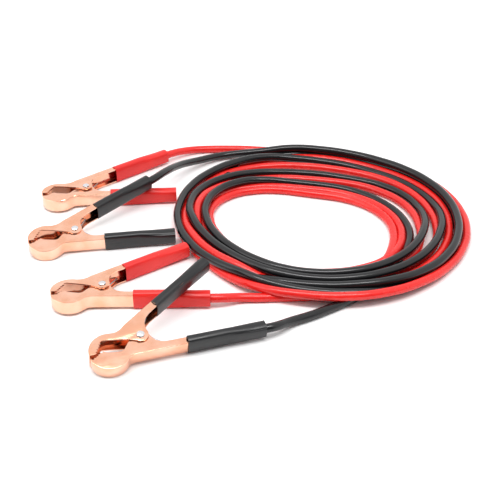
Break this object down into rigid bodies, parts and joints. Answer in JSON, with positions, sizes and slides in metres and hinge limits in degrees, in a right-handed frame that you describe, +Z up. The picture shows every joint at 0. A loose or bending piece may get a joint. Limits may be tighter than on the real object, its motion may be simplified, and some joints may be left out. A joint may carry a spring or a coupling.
{
  "type": "car jumper cable",
  "caption": "Jumper cable set for a car: a red and a black cable lying in a loose coil together, with a copper-plated spring clamp with insulated handles at each end.",
  "frame": {"origin": "on the floor, under the middle of the box around the four clamps", "axes": "+X from the clamps towards the coil, +Y away from the viewer along the row of clamps, +Z up"},
  "size_m": [0.4482, 0.4185, 0.0414],
  "materials": {
    "copper_plate": "pressed sheet steel with a bright copper plating",
    "rivet_steel": "bright plated steel",
    "spring_steel": "drawn wire",
    "red_plastic": "soft red PVC with a satin shine",
    "black_plastic": "soft black PVC with a satin shine"
  },
  "bodies": {
    "set": {"coiled_cables": "black_plastic", "red_cable_far_lead": "red_plastic", "black_cable_far_lead": "black_plastic", "red_cable_near_lead": "red_plastic", "black_cable_near_lead": "black_plastic", "far_red_outer_jaw": "copper_plate", "far_red_outer_sleeve": "red_plastic", "far_red_rivet": "rivet_steel", "far_red_spring": "spring_steel", "far_black_outer_jaw": "copper_plate", "far_black_outer_sleeve": "black_plastic", "far_black_rivet": "rivet_steel", "far_black_spring": "spring_steel", "near_red_inner_jaw": "copper_plate", "near_red_inner_sleeve": "red_plastic", "near_red_rivet": "rivet_steel", "near_red_spring": "spring_steel", "near_black_inner_jaw": "copper_plate", "near_black_inner_sleeve": "black_plastic", "near_black_rivet": "rivet_steel", "near_black_spring": "spring_steel"},
    "far_red_lever": {"far_red_inner_jaw": "copper_plate", "far_red_inner_sleeve": "red_plastic"},
    "far_black_lever": {"far_black_inner_jaw": "copper_plate", "far_black_inner_sleeve": "black_plastic"},
    "near_red_lever": {"near_red_outer_jaw": "copper_plate", "near_red_outer_sleeve": "red_plastic"},
    "near_black_lever": {"near_black_outer_jaw": "copper_plate", "near_black_outer_sleeve": "black_plastic"}
  },
  "joints": [
    {"name": "far_red_squeeze", "type": "hinge", "parent": "set", "child": "far_red_lever", "pos_m": [-0.07453, 0.10628, 0.0094], "axis": [0, 0, 1], "range_deg": [0, 32], "stiffness_Nm_per_rad": 2, "springref_deg": -20.05, "deforming": ["far_red_spring"]},
    {"name": "far_black_squeeze", "type": "hinge", "parent": "set", "child": "far_black_lever", "pos_m": [-0.07247, 0.01467, 0.01276], "axis": [0.0332, -0.2027, 0.9787], "range_deg": [0, 32], "stiffness_Nm_per_rad": 2, "springref_deg": -20.05, "deforming": ["far_black_spring"]},
    {"name": "near_red_squeeze", "type": "hinge", "parent": "set", "child": "near_red_lever", "pos_m": [-0.03303, -0.07872, 0.0094], "axis": [0, 0, -1], "range_deg": [0, 32], "stiffness_Nm_per_rad": 2, "springref_deg": -20.05, "deforming": ["near_red_spring"]},
    {"name": "near_black_squeeze", "type": "hinge", "parent": "set", "child": "near_black_lever", "pos_m": [0.0102, -0.15844, 0.01408], "axis": [-0.0862, 0.2621, -0.9612], "range_deg": [0, 32], "stiffness_Nm_per_rad": 2, "springref_deg": -20.05, "deforming": ["near_black_spring"]}
  ]
}
